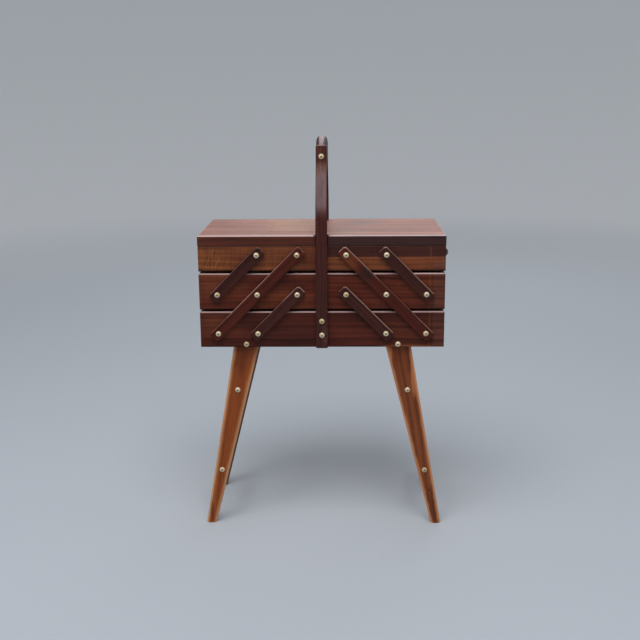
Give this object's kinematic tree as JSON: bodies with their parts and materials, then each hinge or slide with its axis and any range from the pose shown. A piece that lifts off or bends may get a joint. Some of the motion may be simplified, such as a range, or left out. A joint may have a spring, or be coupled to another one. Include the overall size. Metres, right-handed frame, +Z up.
{
  "type": "sewing box",
  "caption": "Wooden cantilever sewing box on splayed tapered legs, with trays that swing out on flat links, hinged lids and a fixed carrying handle.",
  "frame": {"origin": "on the floor under the middle of the box", "axes": "+Z up, +X to the right-hand side seen from the front, +Y to the rear"},
  "size_m": [0.46, 0.2306, 0.7045],
  "materials": {
    "base_wood": "stained and lacquered, darkened with age",
    "tray_wood": "stained and lacquered, satin",
    "bottom_wood": "thin stained board, dull",
    "lid_wood": "stained and lacquered, worn sheen",
    "link_wood": "dark stain, satin",
    "leg_wood": "stained and lacquered, worn at the edges",
    "handle_wood": "dark stain, worn satin",
    "screw_brass": "tarnished, domed",
    "hinge_brass": "tarnished",
    "knob_wood": "black-brown gloss lacquer"
  },
  "bodies": {
    "base": {"base_front_panel": "base_wood", "base_rear_panel": "base_wood", "base_left_end": "base_wood", "base_right_end": "base_wood", "base_bottom_panel": "bottom_wood", "leg_front_left": "leg_wood", "leg_front_right": "leg_wood", "leg_rear_left": "leg_wood", "leg_rear_right": "leg_wood", "left_leg_rails": "leg_wood", "right_leg_rails": "leg_wood", "handle_front_slat": "handle_wood", "handle_rear_slat": "handle_wood", "handle_grip": "handle_wood", "handle_screws": "screw_brass", "leg_screws": "screw_brass", "base_pivot_screws": "screw_brass"},
    "left_long_links": {"left_front_long_link": "link_wood", "left_rear_long_link": "link_wood"},
    "left_lower_links": {"left_front_lower_link": "link_wood", "left_rear_lower_link": "link_wood"},
    "left_upper_links": {"left_front_upper_link": "link_wood", "left_rear_upper_link": "link_wood"},
    "left_middle_tray": {"left_middle_tray_front": "tray_wood", "left_middle_tray_rear": "tray_wood", "left_middle_tray_ends": "tray_wood", "left_middle_tray_bottom": "bottom_wood", "left_middle_pivot_screws": "screw_brass"},
    "left_upper_tray": {"left_upper_tray_front": "tray_wood", "left_upper_tray_rear": "tray_wood", "left_upper_tray_ends": "tray_wood", "left_upper_tray_bottom": "bottom_wood", "left_upper_pivot_screws": "screw_brass", "left_hinge_tray_leaves": "hinge_brass", "left_hinge_pins": "hinge_brass", "left_pull_knob": "knob_wood"},
    "left_lid_body": {"left_lid": "lid_wood", "left_hinge_lid_leaves": "hinge_brass"},
    "right_long_links": {"right_front_long_link": "link_wood", "right_rear_long_link": "link_wood"},
    "right_lower_links": {"right_front_lower_link": "link_wood", "right_rear_lower_link": "link_wood"},
    "right_upper_links": {"right_front_upper_link": "link_wood", "right_rear_upper_link": "link_wood"},
    "right_middle_tray": {"right_middle_tray_front": "tray_wood", "right_middle_tray_rear": "tray_wood", "right_middle_tray_ends": "tray_wood", "right_middle_tray_bottom": "bottom_wood", "right_middle_pivot_screws": "screw_brass"},
    "right_upper_tray": {"right_upper_tray_front": "tray_wood", "right_upper_tray_rear": "tray_wood", "right_upper_tray_ends": "tray_wood", "right_upper_tray_bottom": "bottom_wood", "right_upper_pivot_screws": "screw_brass", "right_hinge_tray_leaves": "hinge_brass", "right_hinge_pins": "hinge_brass", "right_pull_knob": "knob_wood"},
    "right_lid_body": {"right_lid": "lid_wood", "right_hinge_lid_leaves": "hinge_brass"}
  },
  "joints": [
    {"name": "left_open", "type": "hinge", "parent": "base", "child": "left_long_links", "pos_m": [-0.182, 0, 0.36875], "axis": [0, -1, 0], "range_deg": [0, 92]},
    {"name": "left_lower_link_swing", "type": "hinge", "parent": "base", "child": "left_lower_links", "pos_m": [-0.11225, 0, 0.36875], "axis": [0, -1, 0], "range_deg": [0, 92]},
    {"name": "left_middle_tray_level", "type": "hinge", "parent": "left_long_links", "child": "left_middle_tray", "pos_m": [-0.11225, 0, 0.4385], "axis": [0, -1, 0], "range_deg": [-92, 0]},
    {"name": "left_upper_tray_level", "type": "hinge", "parent": "left_long_links", "child": "left_upper_tray", "pos_m": [-0.0425, 0, 0.50825], "axis": [0, -1, 0], "range_deg": [-92, 0]},
    {"name": "left_upper_link_swing", "type": "hinge", "parent": "left_middle_tray", "child": "left_upper_links", "pos_m": [-0.182, 0, 0.4385], "axis": [0, -1, 0], "range_deg": [0, 92]},
    {"name": "left_lid_hinge", "type": "hinge", "parent": "left_upper_tray", "child": "left_lid_body", "pos_m": [-0.2173, 0, 0.52275], "axis": [0, -1, 0], "range_deg": [0, 180]},
    {"name": "right_open", "type": "hinge", "parent": "base", "child": "right_long_links", "pos_m": [0.182, 0, 0.36875], "axis": [0, 1, 0], "range_deg": [0, 92]},
    {"name": "right_lower_link_swing", "type": "hinge", "parent": "base", "child": "right_lower_links", "pos_m": [0.11225, 0, 0.36875], "axis": [0, 1, 0], "range_deg": [0, 92]},
    {"name": "right_middle_tray_level", "type": "hinge", "parent": "right_long_links", "child": "right_middle_tray", "pos_m": [0.11225, 0, 0.4385], "axis": [0, 1, 0], "range_deg": [-92, 0]},
    {"name": "right_upper_tray_level", "type": "hinge", "parent": "right_long_links", "child": "right_upper_tray", "pos_m": [0.0425, 0, 0.50825], "axis": [0, 1, 0], "range_deg": [-92, 0]},
    {"name": "right_upper_link_swing", "type": "hinge", "parent": "right_middle_tray", "child": "right_upper_links", "pos_m": [0.182, 0, 0.4385], "axis": [0, 1, 0], "range_deg": [0, 92]},
    {"name": "right_lid_hinge", "type": "hinge", "parent": "right_upper_tray", "child": "right_lid_body", "pos_m": [0.2173, 0, 0.52275], "axis": [0, 1, 0], "range_deg": [0, 180]}
  ],
  "couplings": [
    {"joint": "left_lower_link_swing", "follows": "left_open", "ratio": 1},
    {"joint": "left_middle_tray_level", "follows": "left_open", "ratio": -1},
    {"joint": "left_upper_tray_level", "follows": "left_open", "ratio": -1},
    {"joint": "left_upper_link_swing", "follows": "left_open", "ratio": 1},
    {"joint": "right_lower_link_swing", "follows": "right_open", "ratio": 1},
    {"joint": "right_middle_tray_level", "follows": "right_open", "ratio": -1},
    {"joint": "right_upper_tray_level", "follows": "right_open", "ratio": -1},
    {"joint": "right_upper_link_swing", "follows": "right_open", "ratio": 1}
  ]
}
